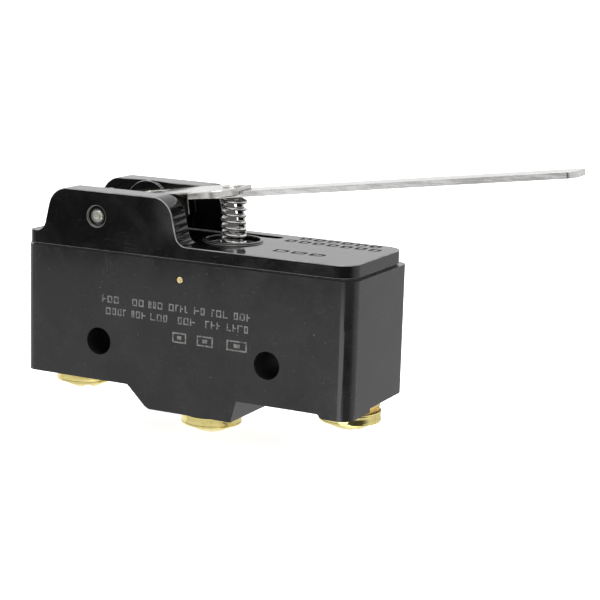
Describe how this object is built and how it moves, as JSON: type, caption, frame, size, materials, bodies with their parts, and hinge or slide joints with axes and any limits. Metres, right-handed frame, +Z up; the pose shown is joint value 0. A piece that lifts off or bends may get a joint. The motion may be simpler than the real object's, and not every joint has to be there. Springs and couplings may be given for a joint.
{
  "type": "limit switch",
  "caption": "Snap-action limit switch: two-part case with screw terminals below and a long pin-hinged steel lever held up by an outside coil spring.",
  "frame": {"origin": "midway between the two mounting holes, on the centre plane of the case", "axes": "+X along the case towards the lever's free tip, +Y along the mounting holes, +Z up through the plunger"},
  "size_m": [0.0748, 0.0174, 0.0401],
  "materials": {
    "base_case": "black moulded phenolic, satin",
    "mid_case": "black moulded phenolic, satin",
    "lever_cover": "black moulded phenolic, glossy",
    "hinge_pin": "ground steel pin",
    "cross_pin": "brass pin end",
    "com_terminal": "stamped brass",
    "no_terminal": "stamped brass",
    "nc_terminal": "stamped brass",
    "no_contact": "silver contact",
    "nc_contact": "silver contact",
    "blade_anchor": "milled brass",
    "return_spring": "drawn spring wire",
    "lever_bracket": "stamped stainless sheet",
    "lever_blade": "rolled stainless strip",
    "lever_rivet": "headed steel rivet",
    "plunger": "black moulded phenolic",
    "snap_spring": "copper alloy spring strip",
    "moving_contact": "silver contact",
    "com_washer": "bright pressed brass",
    "no_washer": "bright pressed brass",
    "nc_washer": "bright pressed brass",
    "com_screw": "bright brass screw",
    "no_screw": "bright brass screw",
    "nc_screw": "bright brass screw"
  },
  "bodies": {
    "housing": {"base_case": "base_case", "mid_case": "mid_case", "lever_cover": "lever_cover", "hinge_pin": "hinge_pin", "cross_pin": "cross_pin", "com_terminal": "com_terminal", "no_terminal": "no_terminal", "nc_terminal": "nc_terminal", "no_contact": "no_contact", "nc_contact": "nc_contact", "blade_anchor": "blade_anchor", "return_spring": "return_spring"},
    "lever": {"lever_bracket": "lever_bracket", "lever_blade": "lever_blade", "lever_rivet": "lever_rivet"},
    "plunger_body": {"plunger": "plunger"},
    "contact_arm": {"snap_spring": "snap_spring", "moving_contact": "moving_contact"},
    "com_clamp_body": {"com_washer": "com_washer"},
    "no_clamp_body": {"no_washer": "no_washer"},
    "nc_clamp_body": {"nc_washer": "nc_washer"},
    "com_screw_body": {"com_screw": "com_screw"},
    "no_screw_body": {"no_screw": "no_screw"},
    "nc_screw_body": {"nc_screw": "nc_screw"}
  },
  "joints": [
    {"name": "lever_hinge", "type": "hinge", "parent": "housing", "child": "lever", "pos_m": [-0.0134, 0, 0.0168], "axis": [0, 1, 0], "range_deg": [0, 9], "stiffness_Nm_per_rad": 0.02, "springref_deg": -17.19, "deforming": ["return_spring"]},
    {"name": "plunger_slide", "type": "slide", "parent": "housing", "child": "plunger_body", "axis": [0, 0, -1], "range_m": [0, 0.0005]},
    {"name": "contact_swing", "type": "hinge", "parent": "housing", "child": "contact_arm", "pos_m": [-0.0153, 0, 0.00732], "axis": [0, 1, 0], "range_deg": [0, 2.6]},
    {"name": "com_clamp_slide", "type": "slide", "parent": "housing", "child": "com_clamp_body", "axis": [0, 0, -1], "range_m": [0, 0.0012]},
    {"name": "com_screw_turn", "type": "hinge", "parent": "com_clamp_body", "child": "com_screw_body", "pos_m": [-0.0203, 0, -0.0064], "axis": [0, 0, -1], "range_deg": [0, 540]},
    {"name": "no_clamp_slide", "type": "slide", "parent": "housing", "child": "no_clamp_body", "axis": [0, 0, -1], "range_m": [0, 0.0012]},
    {"name": "no_screw_turn", "type": "hinge", "parent": "no_clamp_body", "child": "no_screw_body", "pos_m": [0, 0, -0.0098], "axis": [0, 0, -1], "range_deg": [0, 540]},
    {"name": "nc_clamp_slide", "type": "slide", "parent": "housing", "child": "nc_clamp_body", "axis": [0, 0, -1], "range_m": [0, 0.0012]},
    {"name": "nc_screw_turn", "type": "hinge", "parent": "nc_clamp_body", "child": "nc_screw_body", "pos_m": [0.0207, 0, -0.0064], "axis": [0, 0, -1], "range_deg": [0, 540]}
  ],
  "couplings": [
    {"joint": "plunger_slide", "follows": "lever_hinge", "m_per_rad": 0.003183},
    {"joint": "contact_swing", "follows": "lever_hinge", "ratio": 0.2888},
    {"joint": "com_screw_turn", "follows": "com_clamp_slide", "rad_per_m": 7854},
    {"joint": "no_screw_turn", "follows": "no_clamp_slide", "rad_per_m": 7854},
    {"joint": "nc_screw_turn", "follows": "nc_clamp_slide", "rad_per_m": 7854}
  ]
}
